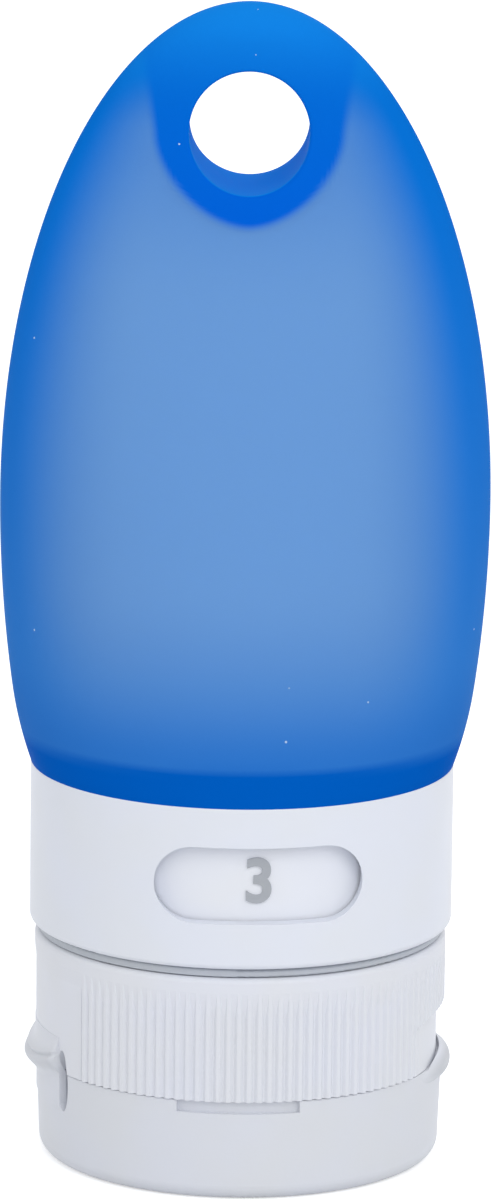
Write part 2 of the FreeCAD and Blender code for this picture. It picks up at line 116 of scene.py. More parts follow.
def join_grids(*grids):
    """Points, quads and finish numbers of several (grid, wrap, finish); a grid is (rows, columns, 3)."""
    points, quads, finishes, count = [], [], [], 0
    for grid, wrap, finish in grids:
        points.append(grid.reshape(-1, 3))
        quads.append(grid_quads(grid.shape[0], grid.shape[1], wrap) + count)
        finishes.append(np.full(len(quads[-1]), finish, dtype=np.int32))
        count += grid.shape[0] * grid.shape[1]
    return np.concatenate(points), np.concatenate(quads), np.concatenate(finishes)


def mesh_piece(name, points, quads, finishes, sharp_degrees=50):
    """Object at the origin from points and faces: doubles merged, ends closed, normals outwards, smooth."""
    mesh = bpy.data.meshes.new(name)
    mesh.from_pydata(points.tolist(), [], quads.tolist())
    mesh.polygons.foreach_set("material_index", finishes)
    work = bmesh.new()
    work.from_mesh(mesh)
    bmesh.ops.remove_doubles(work, verts=work.verts, dist=WELD)
    open_edges = [edge for edge in work.edges if edge.is_boundary]
    if open_edges:
        bmesh.ops.holes_fill(work, edges=open_edges)
    bmesh.ops.recalc_face_normals(work, faces=work.faces)
    loose_ends = sum(1 for edge in work.edges if not edge.is_manifold)
    work.to_mesh(mesh)
    work.free()
    mesh.polygons.foreach_set("use_smooth", np.ones(len(mesh.polygons), dtype=bool))
    mesh.set_sharp_from_angle(angle=math.radians(sharp_degrees))
    piece = bpy.data.objects.new(name, mesh)
    bpy.context.scene.collection.objects.link(piece)
    print(f"{name}: {len(mesh.vertices)} points, {len(mesh.polygons)} faces, {loose_ends} open edges")
    return piece


print("a grid of 3 rows and 4 columns has", len(grid_quads(3, 4)), "quads")

# %% [markdown]
# ## Floor and world
# The bottle stands on a plain white ground in soft light from all round. A bright floor and sky would do
# that, but they would also wash out pale plastic. So the floor is a pale sheet that keeps the bottle's
# shadow and has a little glow where it is looked at, and the world is white where it is looked at, straight
# on, in a reflection or through the silicone, and dimmer where it lights the pieces.

# %% Floor and world
WORLD_COLOUR = (0.97, 0.98, 1.0, 1)
WORLD_LIGHT = 0.79
WORLD_SEEN = 1.0
FLOOR_SIZE = 6.0
FLOOR_POINTS = 3
FLOOR_COLOUR = (0.8, 0.805, 0.81, 1)
FLOOR_ROUGH = 0.9
FLOOR_GLOW = 0.5


def node_of(tree, kind, **values):
    """New node of a tree, with attributes set by name."""
    node = tree.nodes.new(kind)
    for key, value in values.items():
        setattr(node, key, value)
    return node


def spread_value(tree, factor, low, high):
    """Number between low and high by a factor socket."""
    spread = node_of(tree, "ShaderNodeMapRange")
    spread.inputs["To Min"].default_value = low
    spread.inputs["To Max"].default_value = high
    tree.links.new(factor, spread.inputs["Value"])
    return spread.outputs["Result"]


def seen_ray(tree):
    """1 for rays that look at a thing: straight from the camera, in a reflection or through a clear body."""
    path = node_of(tree, "ShaderNodeLightPath")
    seen = path.outputs["Is Camera Ray"]
    for way in ("Is Glossy Ray", "Is Transmission Ray"):
        either = node_of(tree, "ShaderNodeMath", operation="MAXIMUM")
        tree.links.new(seen, either.inputs[0])
        tree.links.new(path.outputs[way], either.inputs[1])
        seen = either.outputs[0]
    return seen


world = bpy.data.worlds.new("white_room")
world.use_nodes = True
bpy.context.scene.world = world
world_tree = world.node_tree
sky = world_tree.nodes["Background"]
sky.inputs["Color"].default_value = WORLD_COLOUR
world_strength = spread_value(world_tree, seen_ray(world_tree), WORLD_LIGHT, WORLD_SEEN)
world_tree.links.new(world_strength, sky.inputs["Strength"])

floor_paint = bpy.data.materials.new("floor_paint")
floor_paint.use_nodes = True
floor_tree = floor_paint.node_tree
floor_shader = floor_tree.nodes["Principled BSDF"]
floor_shader.inputs["Base Color"].default_value = FLOOR_COLOUR
floor_shader.inputs["Roughness"].default_value = FLOOR_ROUGH
floor_shader.inputs["Specular IOR Level"].default_value = 0.0
floor_shader.inputs["Emission Color"].default_value = (1, 1, 1, 1)
floor_glow = spread_value(floor_tree, seen_ray(floor_tree), 0.0, FLOOR_GLOW)
floor_tree.links.new(floor_glow, floor_shader.inputs["Emission Strength"])

floor_line = np.linspace(-FLOOR_SIZE / 2, FLOOR_SIZE / 2, FLOOR_POINTS)
floor_x, floor_y = np.meshgrid(floor_line, floor_line)
floor_grid = np.stack([floor_x, floor_y, np.zeros_like(floor_x)], axis=-1)
floor_quads = grid_quads(FLOOR_POINTS, FLOOR_POINTS)
floor_mesh = bpy.data.meshes.new("floor")
floor_mesh.from_pydata(floor_grid.reshape(-1, 3).tolist(), [], floor_quads.tolist())
floor = bpy.data.objects.new("floor", floor_mesh)
floor_mesh.materials.append(floor_paint)
bpy.context.scene.collection.objects.link(floor)
print("floor", FLOOR_SIZE, "m wide")

# %% [markdown]
# ## Soft boxes
# Light from all round alone would leave the bottle flat. Point lamps would give it hard highlights, so four
# square soft boxes give the roundness: the main one high in front, a weak one at each side and one behind,
# which brightens the floor and the rim of the silicone.

# %% Soft boxes
AIM = (0, 0, 0.05)

# Name, place in metres, edge length in metres and power in watts of each box.
SOFT_BOXES = (
    ("key_light", (0.25, -0.8, 0.65), 0.6, 2.8),
    ("right_fill", (0.8, -0.4, 0.4), 0.6, 0.3),
    ("left_fill", (-0.8, -0.4, 0.4), 0.6, 0.4),
    ("back_light", (0.1, 0.8, 0.6), 0.7, 0.8),
)


def soft_box(name, place, size, power):
    """Square area lamp at place, turned so that its -Z axis looks at the aim."""
    lamp = bpy.data.lights.new(name, "AREA")
    lamp.shape = "SQUARE"
    lamp.size = size
    lamp.energy = power
    holder = bpy.data.objects.new(name, lamp)
    away = np.array(place, float) - np.array(AIM, float)
    away /= np.linalg.norm(away)
    side = np.cross((0, 0, 1), away)
    side /= np.linalg.norm(side)
    turn = np.eye(4)
    turn[:3] = np.column_stack([side, np.cross(away, side), away, place])
    holder.matrix_world = Matrix(turn.tolist())
    bpy.context.scene.collection.objects.link(holder)


for box in SOFT_BOXES:
    soft_box(*box)
print(len(SOFT_BOXES), "soft boxes")

# %% [markdown]
# ## The silicone body: its outlines
# Seen from the front the body is an egg: an upper half ellipse on a longer lower one. Seen from the side it
# starts as round as the neck and falls off to a thin top, like a tube that is flattened towards its end. It
# could be a lump pushed into shape by hand. But every level section is an oval with these two half sizes,
# so the whole outside is a formula in height and angle.

# %% Outlines of the body
BODY_LOW, BODY_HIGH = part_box("bottle_body")
BODY_HALF_WIDTH, BODY_BASE_HALF_DEPTH, BODY_TOP = BODY_HIGH
COLLAR_RADIUS, _, COLLAR_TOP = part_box("window_collar")[1]
BODY_WIDEST = 62.35 * MM
BODY_LOWER_REACH = 54.5 * MM
BODY_TOP_HALF_DEPTH = 3.4 * MM
DEPTH_FALL_POWER = 1.15
COLLAR_GAP = 0.15 * MM
SHOULDER = COLLAR_TOP + COLLAR_GAP
TINY = 1e-9


def half_width(z):
    """Half width at height z: half an ellipse above the widest level and part of a longer one below."""
    reach = np.where(z > BODY_WIDEST, BODY_TOP - BODY_WIDEST, BODY_LOWER_REACH)
    return BODY_HALF_WIDTH * np.sqrt(np.clip(1 - ((z - BODY_WIDEST) / reach) ** 2, 0, 1))


def half_depth(z):
    """Half depth at height z: a cosine fall from shoulder to top, closed half round at its end."""
    share = np.clip((z - SHOULDER) / (BODY_TOP - SHOULDER), 0, 1)
    fall = (1 + np.cos(np.pi * share ** DEPTH_FALL_POWER)) / 2
    depth = BODY_TOP_HALF_DEPTH + (BODY_BASE_HALF_DEPTH - BODY_TOP_HALF_DEPTH) * fall
    over = np.clip((z - (BODY_TOP - BODY_TOP_HALF_DEPTH)) / BODY_TOP_HALF_DEPTH, 0, 1)
    return depth * np.sqrt(1 - over ** 2)


def oval_depth(x, z, side_inset=0.0, face_inset=0.0):
    """Depth of the oval section at width x and height z, drawn in at its sides and at its faces."""
    wide = np.maximum(half_width(z) - side_inset, TINY)
    return np.maximum(half_depth(z) - face_inset, 0) * np.sqrt(np.clip(1 - (x / wide) ** 2, 0, 1))


print("half width at the shoulder", round(float(half_width(SHOULDER)) / MM, 2), "mm")

# %% [markdown]
# ## The silicone body: the room inside
# The wall of the real body is thinner on its faces than at its sides and swells towards the shoulder, where
# it has to hold the neck. A Solidify modifier would give one thickness all over. So the room inside gets
# outlines of its own: the outer ones less the wall. The foot is drawn in a little, so that it meets the
# collar at the collar's radius.

# %% Wall and foot
FACE_WALL = 1.7 * MM
SIDE_WALL = 2.7 * MM
CAVITY_FLOOR = 40.65 * MM
WALL_SWELL = 1.6 * MM
WALL_SWELL_REACH = 20 * MM
WALL_SWELL_POWER = 2.5
SIDE_SWELL_SHARE = 0.3
LIP_LAP = 0.1 * MM
LIP_INSET = 0.03 * MM
LIP_LOW = COLLAR_TOP - LIP_LAP
LIP_RADIUS = COLLAR_RADIUS - LIP_INSET
FOOT_DRAW_HEIGHT = 7 * MM


def wall_swell(z):
    """What the wall gains towards the shoulder: a power of the height left to the cavity's floor."""
    share = np.clip(1 - (z - CAVITY_FLOOR) / WALL_SWELL_REACH, 0, 1)
    return WALL_SWELL * share ** WALL_SWELL_POWER


def room_width(z):
    """Half width of the room inside at height z."""
    return half_width(z) - SIDE_WALL - SIDE_SWELL_SHARE * wall_swell(z)


def room_depth(z):
    """Half depth of the room inside at height z."""
    return half_depth(z) - FACE_WALL - wall_swell(z)


def foot_draw(z):
    """What the sides are drawn in at the foot: a square law in height, to the collar's radius at the lip."""
    share = np.clip(1 - (z - LIP_LOW) / FOOT_DRAW_HEIGHT, 0, 1)
    return (half_width(LIP_LOW) - LIP_RADIUS) * share ** 2


print("wall at the cavity's floor", round(float(FACE_WALL + wall_swell(CAVITY_FLOOR)) / MM, 2), "mm")

# %% [markdown]
# ## The silicone body: rings up to the hanging hole
# The wall is a closed skin with an outside and an inside, because light has to enter and leave it twice. Up
# to a level below the hanging hole it is a profile of oval rings: down the outside, round the lip that laps
# the collar, along the neck sleeve and back up the inside. A plain lathe could not do it, because the ovals
# turn into circles.

# %% Rings
RING_CUT = 84.0 * MM
AROUND = 192
OUTSIDE_RINGS = 64
LIP_RINGS = 5
CORNER_RINGS = 10
INSIDE_RINGS = 60
LIP_ROUND = 0.07 * MM
LIP_WALL = 0.19 * MM
COLLAR_EDGE_ROUND = 0.55 * MM
SLEEVE_LOW = BODY_LOW[2]
SLEEVE_RADIUS = 15.95 * MM
SLEEVE_BORE = 14.1 * MM
NECK_TUBE_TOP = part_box("neck_insert")[1][2]
NECK_BORE = 12.6 * MM
THROAT_RADIUS = 15.1 * MM
CAVITY_ROUND = 1.4 * MM


def ring_profile():
    """Half width, half depth and height of each ring: down the outside, round the sleeve, up the inside."""
    outside = np.linspace(RING_CUT, LIP_LOW + LIP_ROUND, OUTSIDE_RINGS)
    turn = np.linspace(0, np.pi / 2, LIP_RINGS)[1:]
    drawn_in = LIP_ROUND * (1 - np.cos(turn))
    turn_height = LIP_LOW + LIP_ROUND * (1 - np.sin(turn))
    ledge = (COLLAR_TOP + SHOULDER) / 2
    sleeve = np.array([
        (COLLAR_RADIUS - LIP_WALL, LIP_LOW), (COLLAR_RADIUS - COLLAR_EDGE_ROUND, ledge),
        (SLEEVE_RADIUS, ledge), (SLEEVE_RADIUS, SLEEVE_LOW), (SLEEVE_BORE, SLEEVE_LOW),
        (SLEEVE_BORE, NECK_TUBE_TOP), (NECK_BORE, NECK_TUBE_TOP), (THROAT_RADIUS, CAVITY_FLOOR)])
    bend = np.linspace(0, np.pi / 2, CORNER_RINGS)
    corner = CAVITY_FLOOR + CAVITY_ROUND
    corner_wide = float(room_width(corner)) - CAVITY_ROUND * (1 - np.sin(bend))
    corner_deep = float(room_depth(corner)) - CAVITY_ROUND * (1 - np.sin(bend))
    corner_height = corner - CAVITY_ROUND * np.cos(bend)
    inside = np.linspace(corner, RING_CUT, INSIDE_RINGS)[1:]
    wide = [half_width(outside) - foot_draw(outside), LIP_RADIUS - drawn_in,
            sleeve[:, 0], corner_wide, room_width(inside)]
    deep = [half_depth(outside), float(half_depth(LIP_LOW)) - drawn_in,
            sleeve[:, 0], corner_deep, room_depth(inside)]
    height = [outside, turn_height, sleeve[:, 1], corner_height, inside]
    return np.concatenate(wide), np.concatenate(deep), np.concatenate(height)


def ring_skin():
    """Oval rings: x = half width times cosine, y = half depth times sine, at each height of the profile."""
    wide, deep, height = (values[:, None] for values in ring_profile())
    angle = np.linspace(0, 2 * np.pi, AROUND, endpoint=False)[None, :]
    return np.stack([wide * np.cos(angle), deep * np.sin(angle), height + 0 * angle], axis=-1)


rings = ring_skin()
print("rings:", rings.shape[0], "of", rings.shape[1], "points")

# %% [markdown]
# ## The silicone body: round the hanging hole
# Above that level the rings would run into the hole. A Boolean cut would leave a ragged edge that shades
# badly. So a second grid spreads in straight rays from the hole's rim to the outline. It is lifted onto the
# oval, and its inner end is rolled over into the wall of the hole.

# %% Outside round the hole
HOLE = next(mount for mount in frame["record"]["mounts"] if mount["name"] == "hanging_hole")
HOLE_HEIGHT = HOLE["pos_m"][2]
HOLE_RADIUS = HOLE["dims"]["r_mm"] * MM
HOLE_EDGE_ROUND = 0.35 * MM
OUTLINE_POINTS = 64
HOLE_RAY_ROWS = 64
HOLE_EDGE_ROWS = 9
HOLE_WALL_ROWS = 12
FRONT_TO_BACK = np.array([1, -1, 1])


def outline_above_cut(inset, top):
    """Points along the body's front outline above the ring cut, from right foot to top, as x and z."""
    reach = BODY_TOP - BODY_WIDEST
    first, last = (math.asin((level - BODY_WIDEST) / reach) for level in (RING_CUT, top))
    z = BODY_WIDEST + reach * np.sin(np.linspace(first, last, OUTLINE_POINTS))
    return half_width(z) - inset, z


def cut_line(inset):
    """The x values, left to right, at which the rings' points cross the cut level."""
    return (half_width(RING_CUT) - inset) * np.cos(np.linspace(np.pi, 0, AROUND // 2 + 1))


def hole_skin():
    """Straight rays from the hole's rim to the outline, lifted onto the oval; rounded rims; the hole's wall.

    Along a ray the steps follow a sine, so that they are fine where the oval turns steeply to the back."""
    foot = cut_line(0)
    right_x, right_z = outline_above_cut(0, BODY_TOP)
    edge_x = np.concatenate([foot, right_x[1:], -right_x[-2:0:-1]])
    edge_z = np.concatenate([np.full_like(foot, RING_CUT), right_z[1:], right_z[-2:0:-1]])
    angle = np.arctan2(edge_z - HOLE_HEIGHT, edge_x)[None, :]
    share = np.sin(np.linspace(0, np.pi / 2, HOLE_RAY_ROWS))[::-1, None]
    rim = HOLE_RADIUS + HOLE_EDGE_ROUND
    x = (1 - share) * rim * np.cos(angle) + share * edge_x
    z = (1 - share) * (HOLE_HEIGHT + rim * np.sin(angle)) + share * edge_z
    face = np.stack([x, -oval_depth(x, z), z], axis=-1)
    bend = np.linspace(0, np.pi / 2, HOLE_EDGE_ROWS)[1:, None]
    radius = HOLE_RADIUS + HOLE_EDGE_ROUND * (1 - np.sin(bend))
    bend_x, bend_z = radius * np.cos(angle), HOLE_HEIGHT + radius * np.sin(angle)
    sunk = oval_depth(bend_x, bend_z) - HOLE_EDGE_ROUND * (1 - np.cos(bend))
    edge = np.stack([bend_x, -sunk, bend_z], axis=-1)
    across = np.linspace(-1, 1, HOLE_WALL_ROWS + 2)[1:-1, None]
    wall = np.stack([bend_x[-1] + 0 * across, across * sunk[-1], bend_z[-1] + 0 * across], axis=-1)
    front = np.concatenate([face, edge])
    back = front[::-1] * FRONT_TO_BACK
    return np.concatenate([front, wall, back])


hole_grid = hole_skin()
print("round the hole:", hole_grid.shape[0], "rows of", hole_grid.shape[1], "points")

# %% [markdown]
# ## The silicone body: the room's end at the boss
# Round the hole the silicone is solid, a boss with a U-shaped edge, and the room inside ends there in two
# narrow ears. The end could be left open, since little of it is seen, but a volume that soaks up light
# needs a closed skin. So a third grid spreads from the boss's edge to the inner outline, rounded over at
# the boss, once for the front and once for the back.

# %% Inside round the boss
BOSS_RADIUS = 8.3 * MM
EAR_TOP = 101.95 * MM
EAR_SIDE_SHARE = 0.62
EAR_BOSS_TURN = 25
CAVITY_EDGE_ROUND = 1.0 * MM
CAVITY_RAY_ROWS = 40


def boss_edge(tip_x, tip_z, ear_count, under_count):
    """The boss's edge as x and z: from the left ear's tip straight down, round under the hole and up again.

    The first share of an ear's points lies on its straight side, the rest on the start of the round."""
    fall = np.linspace(0, 1, ear_count, endpoint=False)
    straight = np.clip(fall / EAR_SIDE_SHARE, 0, 1)
    turned = np.clip((fall - EAR_SIDE_SHARE) / (1 - EAR_SIDE_SHARE), 0, 1)
    turn = np.radians(180 + EAR_BOSS_TURN * turned)
    on_side = fall < EAR_SIDE_SHARE
    ear_x = np.where(on_side, tip_x + (-BOSS_RADIUS - tip_x) * straight, BOSS_RADIUS * np.cos(turn))
    ear_z = np.where(on_side, tip_z + (HOLE_HEIGHT - tip_z) * straight,
                     HOLE_HEIGHT + BOSS_RADIUS * np.sin(turn))
    under = np.radians(np.linspace(180 + EAR_BOSS_TURN, 360 - EAR_BOSS_TURN, under_count))
    edge_x = np.concatenate([ear_x, BOSS_RADIUS * np.cos(under), -ear_x[::-1]])
    edge_z = np.concatenate([ear_z, HOLE_HEIGHT + BOSS_RADIUS * np.sin(under), ear_z[::-1]])
    return edge_x, edge_z


def cavity_skin():
    """Inside above the cut: rays from the boss's edge to the inner outline, rounded over at the boss."""
    foot = cut_line(SIDE_WALL)
    right_x, right_z = outline_above_cut(SIDE_WALL, EAR_TOP)
    edge_x = np.concatenate([-right_x[:0:-1], foot, right_x[1:]])
    edge_z = np.concatenate([right_z[:0:-1], np.full_like(foot, RING_CUT), right_z[1:]])
    boss_x, boss_z = boss_edge(-right_x[-1], right_z[-1], len(right_x) - 1, len(foot))
    share = (1 - np.cos(np.linspace(0, np.pi, CAVITY_RAY_ROWS)))[:, None] / 2
    x = (1 - share) * boss_x + share * edge_x
    z = (1 - share) * boss_z + share * edge_z
    off = share * np.hypot(edge_x - boss_x, edge_z - boss_z)
    round_over = np.sqrt(1 - (1 - np.clip(off / CAVITY_EDGE_ROUND, 0, 1)) ** 2)
    depth = oval_depth(x, z, SIDE_WALL, FACE_WALL) * round_over
    front = np.stack([x, -depth, z], axis=-1)
    return front, front * FRONT_TO_BACK


cavity_front, cavity_back = cavity_skin()
print("round the boss:", cavity_front.shape[0], "rows of", cavity_front.shape[1], "points, twice")

# %% [markdown]
# ## The silicone body: one closed skin
# The grids share their edges, so merging doubles makes one watertight skin. From the top of the neck tube
# inwards its faces get the second finish, the pale inside.

# %% Closed skin
OUTSIDE, INSIDE = 0, 1
throat_row = int(np.argmax(rings[:, 0, 2] == NECK_TUBE_TOP))
silicone_body = mesh_piece("silicone_body", *join_grids(
    (rings[:throat_row + 1], True, OUTSIDE), (rings[throat_row:], True, INSIDE), (hole_grid, True, OUTSIDE),
    (cavity_front, False, INSIDE), (cavity_back, False, INSIDE)), sharp_degrees=60)
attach(silicone_body, "bottle")
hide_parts("bottle_body")

# %% [markdown]
# ## Grain, mottle and specks
# No moulded surface is one flat tone. Three things are shared by all the finishes here: the fine grain of
# the mould, a slow mottle in tone and gloss, and a few specks of dust. They could be painted on, but then
# they would need a picture. Each is worked out from the place on the object instead, in node groups that
# the finishes share.

# %% Shared effects
GRAIN_SCALE = 2600.0
GRAIN_DETAIL = 3.0
MOTTLE_SCALE = 110.0
MOTTLE_DETAIL = 2.0
MOTTLE_LIMITS = (0.25, 0.75)
SPECK_CELLS = 300.0
SPECK_SHARE = 0.3
SPECK_RADIUS = 0.034


def effect_group(name, inputs, outputs):
    """Shader node group with number inputs {name: value} and number outputs, with its two end nodes."""
    tree = bpy.data.node_groups.new(name, "ShaderNodeTree")
    for label, value in inputs.items():
        tree.interface.new_socket(label, in_out="INPUT", socket_type="NodeSocketFloat").default_value = value
    for label in outputs:
        tree.interface.new_socket(label, in_out="OUTPUT", socket_type="NodeSocketFloat")
    return tree, node_of(tree, "NodeGroupInput"), node_of(tree, "NodeGroupOutput")


def skin_group():
    """Grain is a fine noise and Mottle a slow one spread over 0 to 1, both read at object coordinates."""
    tree, given, result = effect_group(
        "moulded_skin", {"Grain Scale": GRAIN_SCALE, "Mottle Scale": MOTTLE_SCALE}, ("Grain", "Mottle"))
    place = node_of(tree, "ShaderNodeTexCoord")
    spread = node_of(tree, "ShaderNodeMapRange", interpolation_type="SMOOTHERSTEP")
    spread.inputs["From Min"].default_value, spread.inputs["From Max"].default_value = MOTTLE_LIMITS
    tree.links.new(spread.outputs["Result"], result.inputs["Mottle"])
    noises = (("Grain Scale", GRAIN_DETAIL, result.inputs["Grain"]),
              ("Mottle Scale", MOTTLE_DETAIL, spread.inputs["Value"]))
    for scale, detail, target in noises:
        noise = node_of(tree, "ShaderNodeTexNoise")
        noise.inputs["Detail"].default_value = detail
        tree.links.new(place.outputs["Object"], noise.inputs["Vector"])
        tree.links.new(given.outputs[scale], noise.inputs["Scale"])
        tree.links.new(noise.outputs["Fac"], target)
    return tree


def speck_group():
    """1 in a small ball round the middle of a few cells of a random 3-D cell pattern, 0 elsewhere."""
    tree, given, result = effect_group(
        "dust_specks", {"Cell Scale": SPECK_CELLS, "Share": SPECK_SHARE, "Radius": SPECK_RADIUS}, ("Mask",))
    place = node_of(tree, "ShaderNodeTexCoord")
    cells = node_of(tree, "ShaderNodeTexVoronoi")
    split = node_of(tree, "ShaderNodeSeparateColor")
    picked = node_of(tree, "ShaderNodeMath", operation="LESS_THAN")
    near = node_of(tree, "ShaderNodeMath", operation="LESS_THAN")
    both = node_of(tree, "ShaderNodeMath", operation="MULTIPLY")
    tree.links.new(place.outputs["Object"], cells.inputs["Vector"])
    tree.links.new(given.outputs["Cell Scale"], cells.inputs["Scale"])
    tree.links.new(cells.outputs["Color"], split.inputs["Color"])
    tree.links.new(split.outputs["Red"], picked.inputs[0])
    tree.links.new(given.outputs["Share"], picked.inputs[1])
    tree.links.new(cells.outputs["Distance"], near.inputs[0])
    tree.links.new(given.outputs["Radius"], near.inputs[1])
    tree.links.new(picked.outputs[0], both.inputs[0])
    tree.links.new(near.outputs[0], both.inputs[1])
    tree.links.new(both.outputs[0], result.inputs["Mask"])
    return tree


SKIN_GROUP = skin_group()
SPECK_GROUP = speck_group()
print("shared effects:", SKIN_GROUP.name, "and", SPECK_GROUP.name)

# %% [markdown]
# ## Small parts of a finish
# Every finish mixes colours by a mask and turns a height into a normal. Both are short runs of nodes that
# would repeat in each material, so they are written once here. They are plain functions and not groups,
# because a fixed colour or depth goes straight onto the node's own socket.

# %% Colour and normal helpers
MIX_LOW, MIX_HIGH, MIX_RESULT = 6, 7, 2


def mixed_colour(tree, factor, low, high):
    """Colour between low and high by a factor socket; low and high are colours or colour sockets."""
    mix = node_of(tree, "ShaderNodeMix", data_type="RGBA")
    tree.links.new(factor, mix.inputs[0])
    for socket, colour in ((mix.inputs[MIX_LOW], low), (mix.inputs[MIX_HIGH], high)):
        if isinstance(colour, tuple):
            socket.default_value = (*colour, 1)
        else:
            tree.links.new(colour, socket)
    return mix.outputs[MIX_RESULT]


def grain_normal(tree, height, depth):
    """Normal that follows a height socket whose full swing is depth metres."""
    bump = node_of(tree, "ShaderNodeBump")
    bump.inputs["Distance"].default_value = depth
    tree.links.new(height, bump.inputs["Height"])
    return bump.outputs["Normal"]


print("colour sockets of a mix:", MIX_LOW, "and", MIX_HIGH, "in,", MIX_RESULT, "out")

# %% [markdown]
# ## Where the silicone is thin
# The wall is thin in the middle of the face, with the pale room right behind it, and there the colour is
# milky. It is solid round the hanging hole and at the foot, and at the sides the wall is thicker and seen
# along its length, so there the full pigment shows. The light's path through the wall alone would not give
# such clean steps, so paleness is worked out for every point from its place on the body.

# %% Paleness of the silicone
PALE_CENTRE = -0.35 * MM
SIDE_FADE = (0.1, 0.8)
FOOT_FADE = (40.5 * MM, 58 * MM)
EAR_FADE = (81 * MM, 98 * MM)
EAR_FADE_SHARE = 0.42
EAR_TIP = (97 * MM, 103 * MM)
BOSS_WIDE = 8.75 * MM
BOSS_SPREAD = 0.14
BOSS_DEEP = 8.4 * MM
BOSS_POWER = 1.75
BOSS_SOFT = 0.06


def smooth_step(value, low, high):
    """0 up to low, 1 from high on, and a smooth S between them."""
    share = np.clip((value - low) / (high - low), 0, 1)
    return share * share * (3 - 2 * share)


def clear_of_boss(x, z):
    """0 in the boss and 1 outside it: half a superellipse below the hole, spreading sides above."""
    wide = BOSS_WIDE + BOSS_SPREAD * np.maximum(z - HOLE_HEIGHT, 0)
    under = np.maximum(HOLE_HEIGHT - z, 0) / BOSS_DEEP
    reach = (np.abs(x / wide) ** BOSS_POWER + under ** BOSS_POWER) ** (1 / BOSS_POWER)
    return smooth_step(reach, 1 - BOSS_SOFT, 1 + BOSS_SOFT)


def paleness(x, z):
    """Product of the fades towards the sides, the foot, the ears beside the hole and the boss."""
    across = np.clip((x - PALE_CENTRE) / np.maximum(half_width(z), TINY), -1, 1)
    ears = (1 - EAR_FADE_SHARE * smooth_step(z, *EAR_FADE)) * (1 - smooth_step(z, *EAR_TIP))
    sides = smooth_step(1 - across ** 2, *SIDE_FADE)
    return sides * smooth_step(z, *FOOT_FADE) * ears * clear_of_boss(x, z)


def keep_on_skin(name, kind, field, values):
    """Keeps one value for each point of the silicone as an attribute of its mesh."""
    attribute = silicone_body.data.attributes.new(name, kind, "POINT")
    attribute.data.foreach_set(field, values.reshape(-1))


skin_points = np.empty(3 * len(silicone_body.data.vertices))
silicone_body.data.vertices.foreach_get("co", skin_points)
skin_x, skin_z = skin_points.reshape(-1, 3)[:, (0, 2)].T
skin_pale = paleness(skin_x, skin_z)
keep_on_skin("paleness", "FLOAT", "value", skin_pale)
print("paleness from", round(float(skin_pale.min()), 2), "to", round(float(skin_pale.max()), 2))

# %% [markdown]
# ## The silicone's tones, with painted light and shade
# Blue silicone is not one blue. The band at the foot and the boss are solid and dark. Painted light and
# shade are laid over that: the sides are painted lighter lower down for the light that the white neck throws
# up into the wall, the top edge and the wall of the hole get painted highlights, and a faint painted shade
# lies above the band. A colour ramp follows only one direction, so each tone has a share worked out from the
# place, and the tones are laid over each other in turn.

# %% Tones of the silicone
PIGMENT_DEEP = (0.002, 0.158, 0.63)
# Painted light: a lighter tone lower down for the light that the white neck throws up into the wall.
PAINTED_NECK_LIGHT = (0.04, 0.208, 0.61)
# Painted highlight: a lighter tone at the top edge, where it catches the light.
PAINTED_TOP_LIGHT = (0.006, 0.226, 0.745)
# The solid band's own dark tone, also laid above the band as painted shade.
PIGMENT_FOOT_AND_SHADE = (0.0, 0.105, 0.51)
PIGMENT_BOSS = (0.0, 0.106, 0.65)
PIGMENT_PALE = (0.17, 0.373, 0.76)
# Painted light: a lighter tone on the wall of the hole, which catches the light.
PAINTED_HOLE_LIGHT = (0.002, 0.225, 0.75)
LOW_POWER = 1.6
# Heights over which the painted highlight at the top comes in.
TOP_FADE = (99 * MM, 108 * MM)
BAND_FADE = (39.8 * MM, 41.2 * MM)
BAND_SWELL = 0.65 * MM
# Painted shade: share of the foot's dark tone laid above the band.
BAND_SHADE = 0.35
BAND_SHADE_FADE = (41 * MM, 50 * MM)
BOSS_THICK = 0.9
HOLE_TONE_REACH = 0.3


def low_light(z):
    """How much painted light from the neck there is: a power of the depth below the hole, full at the foot.
    """
    return np.clip((HOLE_HEIGHT - z) / (HOLE_HEIGHT - FOOT_FADE[0]), 0, 1) ** LOW_POWER


def foot_solid(x, z):
    """Full in the solid band at the foot, which is higher in the middle, with a faint painted shade fading
    above it.
    """
    shade = BAND_SHADE * (1 - smooth_step(z, *BAND_SHADE_FADE))
    swell = BAND_SWELL * np.clip(1 - (x / half_width(np.minimum(z, BODY_WIDEST))) ** 2, 0, 1)
    return np.maximum(1 - smooth_step(z - swell, *BAND_FADE), shade)


def boss_solid(x, z):
    """How thick the boss is: most at its foot below the hole, nothing at the top of the body."""
    from_top = np.clip((BODY_TOP - z) / (BODY_TOP - HOLE_HEIGHT + BOSS_DEEP), 0, 1)
    return BOSS_THICK * (1 - clear_of_boss(x, z)) * from_top


def in_hole(x, z):
    """1 on the wall of the hanging hole, where it gets painted light, 0 on most of its rounded edge and
    beyond.
    """
    reach = HOLE_RADIUS + HOLE_TONE_REACH * HOLE_EDGE_ROUND
    return 1 - smooth_step(np.hypot(x, z - HOLE_HEIGHT), HOLE_RADIUS, reach)


def silicone_tone(x, z):
    """The deep pigment, led in turn by their shares to the painted low light, the painted top highlight, the
    foot tone with its painted shade, and the boss, pale and painted hole tones.
    """
    tone = np.array(PIGMENT_DEEP)[None, :]
    for pigment, share in ((PAINTED_NECK_LIGHT, low_light(z)), (PAINTED_TOP_LIGHT, smooth_step(z, *TOP_FADE)),
                           (PIGMENT_FOOT_AND_SHADE, foot_solid(x, z)), (PIGMENT_BOSS, boss_solid(x, z)),
                           (PIGMENT_PALE, paleness(x, z)), (PAINTED_HOLE_LIGHT, in_hole(x, z))):
        tone = tone + (np.array(pigment) - tone) * share[:, None]
    return tone


